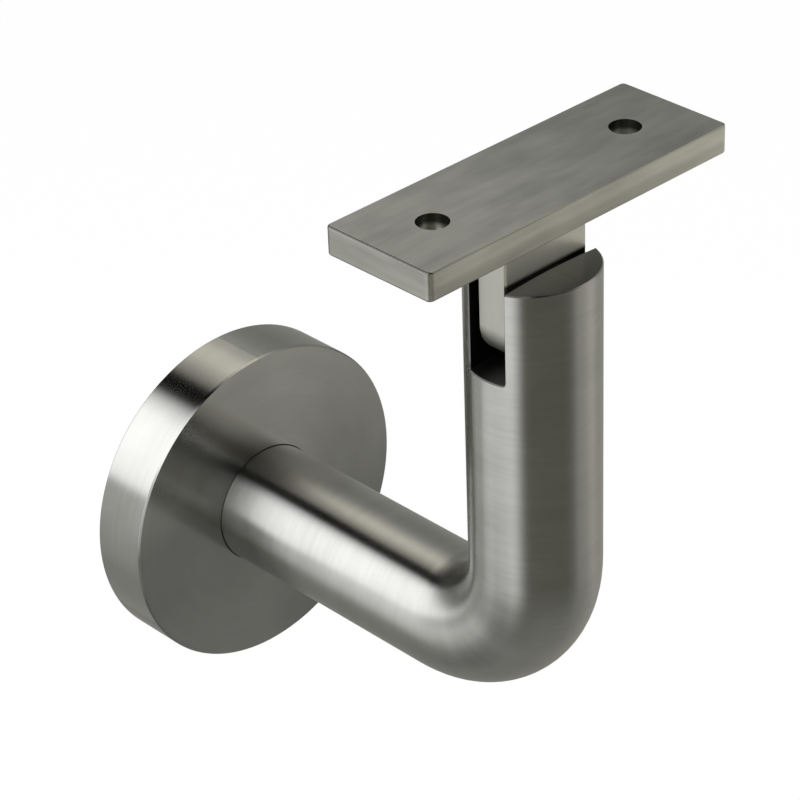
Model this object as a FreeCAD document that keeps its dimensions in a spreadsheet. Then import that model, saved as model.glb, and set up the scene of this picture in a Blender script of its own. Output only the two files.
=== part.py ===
import FreeCAD, Part
import math
import os

import Sketcher
from FreeCAD import Vector

# Handrail bracket for a wall, in millimetres.
# The origin is the centre of the wall face, +Y points into the wall, +Z is up, and the rail runs
# along X. The arm comes out of the wall along -Y and turns up into the limb that carries the saddle.

PARTS_FOLDER = "parts"
os.makedirs(PARTS_FOLDER, exist_ok=True)
TOLERANCE = 1e-4

doc = FreeCAD.newDocument("handrail_bracket")

# Driving dimensions: name, value, what it measures.
SIZES = [
    ("bar_dia", 22.0, "round bar of the arm and the limb"),
    ("projection", 78.0, "wall face to the axis of the limb"),
    ("bend_radius", 20.0, "bend of the bar, to its axis"),
    ("bar_end_chamfer", 0.6, "chamfer round the bar's end at the wall plate"),
    ("pivot_height", 68.0, "axis of the arm to the tilt axis"),
    ("limb_above_pivot", 6.8, "tilt axis to the highest point of the limb"),
    ("limb_crown_radius", 130.0, "rounding of the limb's top along the rail"),
    ("limb_edge_break", 0.2, "broken edges round the limb's top"),
    ("blade_thickness", 6.0, "tongue under the saddle, through the wall-to-rail direction"),
    ("blade_length", 18.0, "tongue along the rail"),
    ("blade_drop", 8.0, "tilt axis to the lower end of the tongue"),
    ("blade_corner_radius", 6.2, "rounded lower corners of the tongue"),
    ("blade_floor_gap", 0.3, "those corners, as they swing past, to the floor of the slot"),
    ("blade_edge_break", 0.3, "broken edges of the tongue"),
    ("slot_corner_radius", 0.6, "inner corners at the floor of the slot"),
    ("slot_edge_break", 0.25, "broken edges where the slot meets the round of the limb"),
    ("washer_thickness", 0.75, "washers beside the tongue"),
    ("washer_dia", 10.0, "outside of those washers"),
    ("saddle_rise", 17.0, "tilt axis to the underside of the saddle plate"),
    ("saddle_length", 65.0, "saddle plate along the rail"),
    ("saddle_width", 22.0, "saddle plate across the rail"),
    ("saddle_thickness", 5.0, "saddle plate"),
    ("saddle_corner_radius", 0.9, "upright corners of the saddle plate"),
    ("saddle_edge_radius", 0.4, "rounded long and short edges of the saddle plate"),
    ("rail_hole_spacing", 42.0, "between the two rail-screw holes"),
    ("rail_hole_dia", 5.3, "rail-screw holes"),
    ("pivot_dia", 5.0, "shank of the pivot screw"),
    ("pivot_running_gap", 0.05, "radial gap between the shank and the tongue"),
    ("pivot_seat_gap", 0.15, "radial gap between the shank and the washers and first cheek"),
    ("pivot_head_dia", 8.5, "head of the pivot screw"),
    ("pivot_head_height", 3.5, "head of the pivot screw"),
    ("pivot_head_gap", 0.25, "radial gap round that head"),
    ("pivot_head_sink", 1.0, "top of that head below the surface of the limb"),
    ("pivot_head_chamfer", 0.4, "outer edge of that head"),
    ("pivot_end_wall", 1.8, "metal left in front of the blind hole of the pivot screw"),
    ("pivot_tip_gap", 0.7, "tip of the pivot screw to the end of its hole"),
    ("pivot_key_width", 3.0, "hexagon socket of the pivot screw, across flats"),
    ("pivot_key_depth", 2.0, "hexagon socket of the pivot screw"),
    ("thread_gap", 0.05, "radial gap between a screw and the hole it is screwed in"),
    ("screw_end_chamfer", 0.6, "chamfer at the tips of both screws"),
    ("wall_plate_thickness", 5.0, "fixing disc under the cover"),
    ("wall_plate_rim_gap", 0.5, "radial gap between the fixing disc and the cover"),
    ("wall_plate_edge_break", 0.4, "broken edge of the fixing disc"),
    ("wall_hole_circle", 40.0, "circle through the wall-screw holes"),
    ("wall_hole_dia", 5.5, "wall-screw holes"),
    ("wall_head_dia", 10.5, "countersinks of the wall-screw holes"),
    ("wall_hole_count", 3.0, "wall-screw holes, evenly round"),
    ("fixing_dia", 8.0, "screw that holds the bar to the fixing disc"),
    ("fixing_head_dia", 15.0, "countersunk head of that screw"),
    ("fixing_length", 16.0, "whole length of that screw"),
    ("fixing_head_gap", 0.1, "gap round that head and shank in the fixing disc"),
    ("fixing_tip_gap", 2.0, "tip of that screw to the end of its hole"),
    ("fixing_key_width", 5.0, "hexagon socket of that screw, across flats"),
    ("fixing_key_depth", 3.0, "hexagon socket of that screw"),
    ("drill_point_angle", 118.0, "end of the blind hole for that screw, in degrees"),
    ("pin_dia", 3.0, "dowel between the bar and the fixing disc"),
    ("pin_offset", 8.0, "axis of the arm down to the dowel"),
    ("pin_in_plate", 2.6, "dowel inside the fixing disc"),
    ("pin_in_bar", 5.0, "dowel inside the bar"),
    ("pin_gap", 0.03, "radial gap round the dowel, and past its ends"),
    ("pin_chamfer", 0.3, "chamfered ends of the dowel"),
    ("cover_dia", 60.0, "cover against the wall"),
    ("cover_depth", 11.0, "wall face to the face of the cover"),
    ("cover_rim_wall", 2.0, "wall of the cover's rim"),
    ("cover_face_wall", 2.5, "wall of the cover's face"),
    ("cover_edge_break", 0.3, "broken edges of the cover"),
    ("cover_bar_gap", 0.15, "radial gap between the cover and the bar"),
    ("collar_wall", 3.8, "collar inside the cover round the bar"),
    ("collar_plate_gap", 0.3, "end of that collar to the fixing disc"),
    ("ring_section", 1.6, "rubber ring in the collar"),
    ("ring_gap", 0.08, "ring to the bar, and to the floor of its groove"),
    ("ring_side_gap", 0.25, "ring to each side of its groove"),
]

sheet = doc.addObject("Spreadsheet::Sheet", "dims")
for row, (alias, size, meaning) in enumerate(SIZES, start=1):
    sheet.set(f"A{row}", alias)
    sheet.set(f"B{row}", str(size))
    sheet.setAlias(f"B{row}", alias)
    sheet.set(f"C{row}", meaning)
doc.recompute()

# Sizes that follow from the driving ones, written once and used by several pieces.
BAR_RADIUS = "(dims.bar_dia / 2)"
ARM_REACH = "(dims.projection - dims.wall_plate_thickness)"
LIMB_TOP = "(dims.pivot_height + dims.limb_above_pivot)"
SLOT_WIDTH = "(dims.blade_thickness + 2 * dims.washer_thickness)"
CORNER_ACROSS = "(dims.blade_length / 2 - dims.blade_corner_radius)"
CORNER_DOWN = "(dims.blade_drop - dims.blade_corner_radius)"
BLADE_SWING = f"(sqrt({CORNER_ACROSS} ^ 2 + {CORNER_DOWN} ^ 2) + dims.blade_corner_radius)"
SLOT_FLOOR = f"(dims.pivot_height - {BLADE_SWING} - dims.blade_floor_gap)"
HEAD_SEAT = "(dims.bar_dia / 2 - dims.pivot_head_sink - dims.pivot_head_height)"
PIVOT_TIP = "(dims.bar_dia / 2 - dims.pivot_end_wall - dims.pivot_tip_gap)"
COVER_BORE_RADIUS = "(dims.bar_dia / 2 + dims.cover_bar_gap)"
RING_CENTRE = "((dims.cover_depth + dims.wall_plate_thickness + dims.collar_plate_gap) / 2)"


def value(expression):
    """Number that an expression over the driving dimensions gives."""
    return float(sheet.evalExpression(expression))


def new_body(label):
    body = doc.addObject("PartDesign::Body", label)
    body.Label = label
    return body


def origin_item(body, role):
    """One of the body's own origin planes or axes."""
    return next(item for item in body.Origin.OriginFeatures if item.Role == role)


def new_sketch(body, name, plane, offset=None):
    """Sketch on an origin plane of the body, or at an offset along that plane's normal."""
    sketch = body.newObject("Sketcher::SketchObject", name)
    sketch.AttachmentSupport = (origin_item(body, plane), [""])
    sketch.MapMode = "FlatFace"
    if offset is not None:
        sketch.setExpression("AttachmentOffset.Base.z", offset)
    return sketch


def hold(sketch, kind, places, expression):
    """Add a dimension to the sketch and bind it to the driving dimensions."""
    index = sketch.addConstraint(Sketcher.Constraint(kind, *places, value(expression)))
    if expression != "0":
        sketch.setExpression(f"Constraints[{index}]", expression)


def hold_point(sketch, geometry, position, across, up):
    """Hold one point of the sketch at its distances from the sketch's origin."""
    hold(sketch, "DistanceX", (-1, 1, geometry, position), across)
    hold(sketch, "DistanceY", (-1, 1, geometry, position), up)


def join(sketch, first, first_end, second, second_end):
    sketch.addConstraint(Sketcher.Constraint("Coincident", first, first_end, second, second_end))


def outline(sketch, corners):
    """Closed loop of straight lines through corners, each given as two expressions."""
    first = sketch.GeometryCount
    count = len(corners)
    points = [Vector(value(across), value(up), 0) for across, up in corners]
    for start, end in zip(points, points[1:] + points[:1]):
        sketch.addGeometry(Part.LineSegment(start, end), False)
    for index in range(count):
        join(sketch, first + index, 2, first + (index + 1) % count, 1)
    for index, (across, up) in enumerate(corners):
        hold_point(sketch, first + index, 1, across, up)


def circle(sketch, across, up, diameter):
    centre = Vector(value(across), value(up), 0)
    index = sketch.addGeometry(Part.Circle(centre, Vector(0, 0, 1), value(diameter) / 2), False)
    hold_point(sketch, index, 3, across, up)
    hold(sketch, "Diameter", (index,), diameter)


def hexagon(sketch, width):
    """Hexagon round the sketch's origin, given across its flats."""
    sides = 6
    corner = f"({width} / 2 / cos(180 / {sides}))"
    turns = [f"{step} * 360 / {sides}" for step in range(sides)]
    outline(sketch, [(f"{corner} * cos({turn})", f"{corner} * sin({turn})") for turn in turns])


def turning_axis(sketch, across, up):
    """Construction line parallel to the sketch's first axis, for a profile to turn about."""
    line = Part.LineSegment(Vector(0, value(up), 0), Vector(value(across), value(up), 0))
    index = sketch.addGeometry(line, True)
    hold_point(sketch, index, 1, "0", up)
    hold_point(sketch, index, 2, across, up)
    return "Axis0"


def turned(body, sketch, name, kind="PartDesign::Revolution", axis="H_Axis"):
    """Whole turn of a profile: a Revolution adds it, and a Groove cuts it."""
    feature = body.newObject(kind, name)
    feature.Profile = sketch
    feature.ReferenceAxis = (sketch, [axis])
    feature.Angle = 360
    return feature


def extruded(body, sketch, name, length, kind="PartDesign::Pad", side="One side", reverse=False):
    """Pad or Pocket over a length. A Pad follows the sketch's normal, and a Pocket goes against it."""
    feature = body.newObject(kind, name)
    feature.Profile = sketch
    feature.SideType = side
    feature.Reversed = reverse
    feature.setExpression("Length", length)
    return feature


def dress(body, base, name, kind, test, size):
    """Fillet or Chamfer on the edges of a feature that pass a test."""
    doc.recompute()
    edges = [f"Edge{index}" for index, edge in enumerate(base.Shape.Edges, start=1) if test(edge)]
    if not edges:
        raise RuntimeError(f"{name} finds no edge")
    feature = body.newObject(kind, name)
    feature.Base = (base, edges)
    feature.setExpression("Radius" if kind == "PartDesign::Fillet" else "Size", size)
    return feature


def close_to(first, second):
    return abs(first - second) < TOLERANCE


def heights(edge):
    return [vertex.Z for vertex in edge.Vertexes]


def is_straight(edge):
    return edge.Curve.TypeId == "Part::GeomLine"


def put(body, **expressions):
    """Bind the place of the body's own origin in the assembly."""
    for axis, expression in expressions.items():
        body.setExpression(f"Placement.Base.{axis}", expression)


# Wall plate: a disc with a countersunk seat in its middle, three countersunk holes for wall screws
# and a blind hole for the dowel. Its origin is the centre of the wall face, and it grows along -Y.

def make_wall_plate():
    body = new_body("wall_plate")
    front = "-dims.wall_plate_thickness"
    rim = "(dims.cover_dia / 2 - dims.cover_rim_wall - dims.wall_plate_rim_gap)"
    disc = new_sketch(body, "wall_plate_section", "YZ_Plane")
    outline(disc, [
        ("0", "0"),
        (front, "0"),
        (front, f"{rim} - dims.wall_plate_edge_break"),
        (f"{front} + dims.wall_plate_edge_break", rim),
        ("0", rim),
    ])
    turned(body, disc, "wall_plate_disc")

    seat_mouth = "(dims.fixing_head_dia / 2 + dims.fixing_head_gap)"
    seat_shank = "(dims.fixing_dia / 2 + dims.fixing_head_gap)"
    seat = new_sketch(body, "fixing_seat_section", "YZ_Plane")
    outline(seat, [
        ("0", "0"),
        (front, "0"),
        (front, seat_shank),
        (f"{seat_shank} - {seat_mouth}", seat_shank),
        ("0", seat_mouth),
    ])
    turned(body, seat, "fixing_seat", "PartDesign::Groove")

    centre = "(-dims.wall_hole_circle / 2)"
    hole_edge = f"{centre} - dims.wall_hole_dia / 2"
    head_edge = f"{centre} - dims.wall_head_dia / 2"
    hole = new_sketch(body, "wall_hole_section", "YZ_Plane")
    axis = turning_axis(hole, front, centre)
    outline(hole, [
        ("0", centre),
        ("0", hole_edge),
        (f"{front} + (dims.wall_head_dia - dims.wall_hole_dia) / 2", hole_edge),
        (front, head_edge),
        (front, centre),
    ])
    lowest_hole = turned(body, hole, "wall_hole", "PartDesign::Groove", axis)
    holes = body.newObject("PartDesign::PolarPattern", "wall_holes")
    holes.Originals = [lowest_hole]
    holes.Axis = (origin_item(body, "Y_Axis"), [""])
    holes.Angle = 360
    holes.setExpression("Occurrences", "dims.wall_hole_count")
    body.Tip = holes

    pin = new_sketch(body, "plate_pin_circle", "XZ_Plane", offset="dims.wall_plate_thickness")
    circle(pin, "0", "-dims.pin_offset", "dims.pin_dia + 2 * dims.pin_gap")
    extruded(body, pin, "plate_pin_hole", "dims.pin_in_plate + dims.pin_gap", "PartDesign::Pocket")
    return body


# Arm: one round bar, straight out of the wall plate, round the bend and up the limb. Its origin is
# the centre of the end that meets the wall plate. The top is rounded along the rail and slotted.

def make_bracket_arm():
    body = new_body("bracket_arm")
    section = new_sketch(body, "bar_section", "XZ_Plane")
    circle(section, "0", "0", "dims.bar_dia")
    bar = body.newObject("PartDesign::AdditivePipe", "bent_bar")
    bar.Profile = section
    bar.Spine = (bar_route(body), [])

    crown = extruded(body, crown_outline(body), "limb_crown", "4 * dims.projection",
                     "PartDesign::Pocket", side="Symmetric")

    slot = new_sketch(body, "slot_outline", "YZ_Plane")
    wall_side = f"-{ARM_REACH} + {SLOT_WIDTH} / 2"
    rail_side = f"-{ARM_REACH} - {SLOT_WIDTH} / 2"
    outline(slot, [
        (rail_side, SLOT_FLOOR),
        (wall_side, SLOT_FLOOR),
        (wall_side, f"{LIMB_TOP} + dims.bar_dia"),
        (rail_side, f"{LIMB_TOP} + dims.bar_dia"),
    ])
    cut = extruded(body, slot, "saddle_slot", "2 * dims.bar_dia", "PartDesign::Pocket",
                   side="Symmetric")
    floor = value(SLOT_FLOOR)
    rounded = dress(body, cut, "slot_floor_corners", "PartDesign::Fillet",
                    lambda edge: is_straight(edge) and all(close_to(z, floor) for z in heights(edge)),
                    "dims.slot_corner_radius")
    radius = value(BAR_RADIUS)
    reach = value(ARM_REACH)
    slot_half = value(f"{SLOT_WIDTH} / 2")
    broken = dress(body, rounded, "slot_edges", "PartDesign::Chamfer",
                   lambda edge: is_straight(edge) and min(heights(edge)) > floor
                   and all(close_to(math.hypot(vertex.X, vertex.Y + reach), radius)
                           and abs(vertex.Y + reach) < slot_half + TOLERANCE
                           for vertex in edge.Vertexes),
                   "dims.slot_edge_break")
    tilt_axis = value("dims.pivot_height")
    dress(body, broken, "limb_top_edges", "PartDesign::Chamfer",
          lambda edge: min(heights(edge)) > tilt_axis, "dims.limb_edge_break")

    bore = new_sketch(body, "pivot_bore_section", "YZ_Plane")
    axis = turning_axis(bore, f"-{ARM_REACH}", "dims.pivot_height")
    head_edge = "dims.pivot_height + dims.pivot_head_dia / 2 + dims.pivot_head_gap"
    shank_edge = "dims.pivot_height + dims.pivot_dia / 2 + dims.pivot_seat_gap"
    thread_edge = "dims.pivot_height + dims.pivot_dia / 2 + dims.thread_gap"
    mouth = f"-{ARM_REACH} + dims.bar_dia"
    head_seat = f"-{ARM_REACH} + {HEAD_SEAT}"
    bore_end = f"-{ARM_REACH} - {PIVOT_TIP} - dims.pivot_tip_gap"
    outline(bore, [
        (mouth, "dims.pivot_height"),
        (mouth, head_edge),
        (head_seat, head_edge),
        (head_seat, shank_edge),
        (f"-{ARM_REACH}", shank_edge),
        (f"-{ARM_REACH}", thread_edge),
        (bore_end, thread_edge),
        (bore_end, "dims.pivot_height"),
    ])
    bored = turned(body, bore, "pivot_bore", "PartDesign::Groove", axis)

    dress(body, bored, "bar_end_edge", "PartDesign::Chamfer",
          lambda edge: all(close_to(vertex.Y, 0) for vertex in edge.Vertexes),
          "dims.bar_end_chamfer")

    thread = new_sketch(body, "fixing_thread_section", "YZ_Plane")
    depth = "(dims.fixing_length - dims.wall_plate_thickness + dims.fixing_tip_gap)"
    radius = "(dims.fixing_dia / 2 + dims.thread_gap)"
    outline(thread, [
        ("0", "0"),
        ("0", radius),
        (f"-{depth}", radius),
        (f"-{depth} - {radius} / tan(dims.drill_point_angle / 2)", "0"),
    ])
    turned(body, thread, "fixing_thread", "PartDesign::Groove")

    pin = new_sketch(body, "bar_pin_circle", "XZ_Plane")
    circle(pin, "0", "-dims.pin_offset", "dims.pin_dia + 2 * dims.pin_gap")
    extruded(body, pin, "bar_pin_hole", "dims.pin_in_bar + dims.pin_gap", "PartDesign::Pocket",
             reverse=True)
    put(body, y="-dims.wall_plate_thickness")
    return body


def bar_route(body):
    """Axis of the bar: out of the wall, round the bend, and up past the limb's top."""
    route = new_sketch(body, "bar_route", "YZ_Plane")
    reach = value(ARM_REACH)
    radius = value("dims.bend_radius")
    end = f"{LIMB_TOP} + dims.limb_above_pivot"
    bend_start = Vector(radius - reach, 0, 0)
    bend_end = Vector(-reach, radius, 0)
    bend_centre = Vector(radius - reach, radius, 0)
    arm = route.addGeometry(Part.LineSegment(Vector(0, 0, 0), bend_start), False)
    bend_circle = Part.Circle(bend_centre, Vector(0, 0, 1), radius)
    bend = route.addGeometry(Part.ArcOfCircle(bend_circle, math.pi, 1.5 * math.pi), False)
    limb = route.addGeometry(Part.LineSegment(bend_end, Vector(-reach, value(end), 0)), False)
    join(route, -1, 1, arm, 1)
    route.addConstraint(Sketcher.Constraint("Horizontal", arm))
    route.addConstraint(Sketcher.Constraint("Vertical", limb))
    route.addConstraint(Sketcher.Constraint("Tangent", arm, 2, bend, 2))
    route.addConstraint(Sketcher.Constraint("Tangent", bend, 1, limb, 1))
    hold(route, "Radius", (bend,), "dims.bend_radius")
    hold_point(route, limb, 2, f"-{ARM_REACH}", end)
    return route


def crown_outline(body):
    """What is cut away above the rounded top of the limb."""
    sketch = new_sketch(body, "crown_outline", "XZ_Plane")
    half = value("dims.bar_dia")
    radius = value("dims.limb_crown_radius")
    centre_height = value(f"{LIMB_TOP} - dims.limb_crown_radius")
    swing = math.asin(half / radius)
    shoulder = centre_height + radius * math.cos(swing)
    top = value(f"{LIMB_TOP} + dims.bar_dia")
    crown_circle = Part.Circle(Vector(0, centre_height, 0), Vector(0, 0, 1), radius)
    right_angle = math.pi / 2
    crown_arc = Part.ArcOfCircle(crown_circle, right_angle - swing, right_angle + swing)
    crown = sketch.addGeometry(crown_arc, False)
    corners = [Vector(half, shoulder, 0), Vector(half, top, 0),
               Vector(-half, top, 0), Vector(-half, shoulder, 0)]
    right, ceiling, left = [
        sketch.addGeometry(Part.LineSegment(start, end), False)
        for start, end in zip(corners, corners[1:])
    ]
    join(sketch, crown, 1, right, 1)
    join(sketch, right, 2, ceiling, 1)
    join(sketch, ceiling, 2, left, 1)
    join(sketch, left, 2, crown, 2)
    sketch.addConstraint(Sketcher.Constraint("Vertical", right))
    sketch.addConstraint(Sketcher.Constraint("Horizontal", ceiling))
    sketch.addConstraint(Sketcher.Constraint("Vertical", left))
    hold_point(sketch, crown, 3, "0", f"{LIMB_TOP} - dims.limb_crown_radius")
    hold(sketch, "Radius", (crown,), "dims.limb_crown_radius")
    hold_point(sketch, right, 2, "dims.bar_dia", f"{LIMB_TOP} + dims.bar_dia")
    hold(sketch, "DistanceX", (-1, 1, left, 1), "-dims.bar_dia")
    return sketch


# Countersunk socket screw through the wall plate into the bar, from the wall side.

def make_arm_fixing_screw():
    body = new_body("arm_fixing_screw")
    head = "(dims.fixing_head_dia / 2)"
    shank = "(dims.fixing_dia / 2)"
    section = new_sketch(body, "fixing_screw_section", "YZ_Plane")
    outline(section, [
        ("0", "0"),
        ("0", head),
        (f"{shank} - {head}", shank),
        ("-dims.fixing_length + dims.screw_end_chamfer", shank),
        ("-dims.fixing_length", f"{shank} - dims.screw_end_chamfer"),
        ("-dims.fixing_length", "0"),
    ])
    turned(body, section, "fixing_screw_turned")
    key = new_sketch(body, "fixing_key_outline", "XZ_Plane")
    hexagon(key, "dims.fixing_key_width")
    extruded(body, key, "fixing_key", "dims.fixing_key_depth", "PartDesign::Pocket", reverse=True)
    return body


# Dowel, half in the wall plate and half in the bar. Its origin is the centre of its rear end.

def make_locating_pin():
    body = new_body("locating_pin")
    end = "-(dims.pin_in_plate + dims.pin_in_bar)"
    radius = "(dims.pin_dia / 2)"
    section = new_sketch(body, "pin_section", "YZ_Plane")
    outline(section, [
        ("0", "0"),
        ("0", f"{radius} - dims.pin_chamfer"),
        ("-dims.pin_chamfer", radius),
        (f"{end} + dims.pin_chamfer", radius),
        (end, f"{radius} - dims.pin_chamfer"),
        (end, "0"),
    ])
    turned(body, section, "pin_turned")
    put(body, y="-dims.wall_plate_thickness + dims.pin_in_plate", z="-dims.pin_offset")
    return body


# Cover: a turned cup that hides the wall plate, with a collar inside round the bar.

def make_cover_rose():
    body = new_body("cover_rose")
    rim = "(dims.cover_dia / 2)"
    inside = f"({rim} - dims.cover_rim_wall)"
    face_inside = "(-dims.cover_depth + dims.cover_face_wall)"
    collar_end = "-(dims.wall_plate_thickness + dims.collar_plate_gap)"
    collar = f"({COVER_BORE_RADIUS} + dims.collar_wall)"
    section = new_sketch(body, "cover_section", "YZ_Plane")
    outline(section, [
        ("0", inside),
        ("0", f"{rim} - dims.cover_edge_break"),
        ("-dims.cover_edge_break", rim),
        ("-dims.cover_depth + dims.cover_edge_break", rim),
        ("-dims.cover_depth", f"{rim} - dims.cover_edge_break"),
        ("-dims.cover_depth", COVER_BORE_RADIUS),
        (collar_end, COVER_BORE_RADIUS),
        (collar_end, collar),
        (face_inside, collar),
        (face_inside, inside),
    ])
    turned(body, section, "cover_turned")

    groove_half = "(dims.ring_section / 2 + dims.ring_side_gap)"
    groove_floor = f"({BAR_RADIUS} + dims.ring_section + 2 * dims.ring_gap)"
    groove = new_sketch(body, "ring_groove_section", "YZ_Plane")
    outline(groove, [
        (f"-{RING_CENTRE} - {groove_half}", BAR_RADIUS),
        (f"-{RING_CENTRE} + {groove_half}", BAR_RADIUS),
        (f"-{RING_CENTRE} + {groove_half}", groove_floor),
        (f"-{RING_CENTRE} - {groove_half}", groove_floor),
    ])
    turned(body, groove, "ring_groove", "PartDesign::Groove")
    return body


def make_cover_ring():
    body = new_body("cover_ring")
    section = new_sketch(body, "ring_section_circle", "YZ_Plane")
    centre = f"{BAR_RADIUS} + dims.ring_gap + dims.ring_section / 2"
    circle(section, f"-{RING_CENTRE}", centre, "dims.ring_section")
    turned(body, section, "ring_turned")
    return body


# Pieces on the tilt axis. Their origin is the middle of the tongue, on that axis.

def make_pivot_screw():
    body = new_body("pivot_screw")
    head_top = f"({HEAD_SEAT} + dims.pivot_head_height)"
    head = "(dims.pivot_head_dia / 2)"
    shank = "(dims.pivot_dia / 2)"
    section = new_sketch(body, "pivot_screw_section", "YZ_Plane")
    outline(section, [
        (head_top, "0"),
        (head_top, f"{head} - dims.pivot_head_chamfer"),
        (f"{head_top} - dims.pivot_head_chamfer", head),
        (HEAD_SEAT, head),
        (HEAD_SEAT, shank),
        (f"-{PIVOT_TIP} + dims.screw_end_chamfer", shank),
        (f"-{PIVOT_TIP}", f"{shank} - dims.screw_end_chamfer"),
        (f"-{PIVOT_TIP}", "0"),
    ])
    turned(body, section, "pivot_screw_turned")
    key = new_sketch(body, "pivot_key_outline", "XZ_Plane", offset=f"-{head_top}")
    hexagon(key, "dims.pivot_key_width")
    extruded(body, key, "pivot_key", "dims.pivot_key_depth", "PartDesign::Pocket", reverse=True)
    put(body, y="-dims.projection", z="dims.pivot_height")
    return body


def make_washer(label, side):
    """Washer beside the tongue: side is 1 towards the wall and -1 towards the rail."""
    body = new_body(label)
    bore = new_sketch(body, f"{label}_circles", "XZ_Plane")
    circle(bore, "0", "0", "dims.washer_dia")
    circle(bore, "0", "0", "dims.pivot_dia + 2 * dims.pivot_seat_gap")
    extruded(body, bore, f"{label}_disc", "dims.washer_thickness", side="Symmetric")
    middle = "(dims.blade_thickness + dims.washer_thickness) / 2"
    put(body, y=f"-dims.projection + {side} * {middle}", z="dims.pivot_height")
    return body


def make_saddle_blade():
    body = new_body("saddle_blade")
    half = "dims.blade_length / 2"
    side = new_sketch(body, "blade_outline", "XZ_Plane")
    outline(side, [
        (f"-{half}", "-dims.blade_drop"),
        (half, "-dims.blade_drop"),
        (half, "dims.saddle_rise"),
        (f"-{half}", "dims.saddle_rise"),
    ])
    flat = extruded(body, side, "blade_flat", "dims.blade_thickness", side="Symmetric")

    top = value("dims.saddle_rise")
    rounded = dress(body, flat, "blade_lower_corners", "PartDesign::Fillet",
                    lambda edge: edge.BoundBox.YLength > TOLERANCE and edge.BoundBox.ZMax < top - TOLERANCE,
                    "dims.blade_corner_radius")
    face = value("dims.blade_thickness / 2")
    dress(body, rounded, "blade_edges", "PartDesign::Chamfer",
          lambda edge: all(close_to(abs(vertex.Y), face) for vertex in edge.Vertexes)
          and not all(close_to(z, top) for z in heights(edge))
          and edge.BoundBox.YLength < TOLERANCE,
          "dims.blade_edge_break")

    bore = new_sketch(body, "blade_bore_circle", "XZ_Plane")
    circle(bore, "0", "0", "dims.pivot_dia + 2 * dims.pivot_running_gap")
    extruded(body, bore, "blade_bore", "2 * dims.blade_thickness", "PartDesign::Pocket",
             side="Symmetric")
    put(body, y="-dims.projection", z="dims.pivot_height")
    return body


# Saddle plate: flat bar under the rail. Its origin is the centre of its underside.

def make_saddle_plate():
    body = new_body("saddle_plate")
    across = "dims.saddle_length / 2"
    along = "dims.saddle_width / 2"
    bar = new_sketch(body, "saddle_outline", "XY_Plane")
    outline(bar, [
        (f"-{across}", f"-{along}"),
        (across, f"-{along}"),
        (across, along),
        (f"-{across}", along),
    ])
    flat = extruded(body, bar, "saddle_flat", "dims.saddle_thickness")
    corners = dress(body, flat, "saddle_corners", "PartDesign::Fillet",
                    lambda edge: edge.BoundBox.ZLength > TOLERANCE, "dims.saddle_corner_radius")
    edges = dress(body, corners, "saddle_edges", "PartDesign::Fillet",
                  lambda edge: edge.BoundBox.ZLength < TOLERANCE, "dims.saddle_edge_radius")
    body.Tip = edges

    holes = new_sketch(body, "rail_hole_circles", "XY_Plane")
    for side in ("-", ""):
        circle(holes, f"{side}dims.rail_hole_spacing / 2", "0", "dims.rail_hole_dia")
    extruded(body, holes, "rail_holes", "2 * dims.saddle_thickness", "PartDesign::Pocket",
             reverse=True)
    put(body, y="-dims.projection", z="dims.pivot_height + dims.saddle_rise")
    return body


def check(bodies):
    """Stop on a failed feature, or on a piece that isn't one valid solid."""
    for item in doc.Objects:
        if "Invalid" in item.State or "Error" in item.State:
            raise RuntimeError(f"{item.Name} failed: {item.State}")
    for body in bodies:
        shape = body.Shape
        if shape.isNull() or not shape.isValid() or len(shape.Solids) != 1:
            raise RuntimeError(f"{body.Label} isn't one valid solid")
        for feature in body.Group:
            if feature.TypeId not in ("PartDesign::Pocket", "PartDesign::Groove"):
                continue
            if feature.Shape.Volume > feature.BaseFeature.Shape.Volume - TOLERANCE:
                raise RuntimeError(f"{feature.Name} cuts nothing")


pieces = [
    make_wall_plate(),
    make_bracket_arm(),
    make_arm_fixing_screw(),
    make_locating_pin(),
    make_cover_rose(),
    make_cover_ring(),
    make_pivot_screw(),
    make_washer("washer_wall_side", 1),
    make_washer("washer_rail_side", -1),
    make_saddle_blade(),
    make_saddle_plate(),
]
doc.recompute()
check(pieces)
for piece in pieces:
    piece.Shape.exportStep(os.path.join(PARTS_FOLDER, f"{piece.Label}.step"))
    print(f"{piece.Label}: {piece.Shape.Volume:.1f} cubic mm, {len(piece.Shape.Faces)} faces")
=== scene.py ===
"""Looks of a handrail wall bracket: brushed steel, studio reflections, pale floor, photo's camera."""

import math

import bpy
from mathutils import Matrix, Vector


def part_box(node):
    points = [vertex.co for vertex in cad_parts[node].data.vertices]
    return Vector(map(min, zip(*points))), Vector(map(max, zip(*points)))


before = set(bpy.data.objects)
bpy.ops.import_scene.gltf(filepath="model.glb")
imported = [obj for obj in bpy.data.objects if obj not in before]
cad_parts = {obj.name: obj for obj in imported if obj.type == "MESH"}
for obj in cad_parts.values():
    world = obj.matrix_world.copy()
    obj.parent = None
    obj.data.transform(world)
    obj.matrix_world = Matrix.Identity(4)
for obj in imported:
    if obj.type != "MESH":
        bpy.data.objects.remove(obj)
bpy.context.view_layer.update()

MM = 0.001
DEGREES = 180 / math.pi

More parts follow.
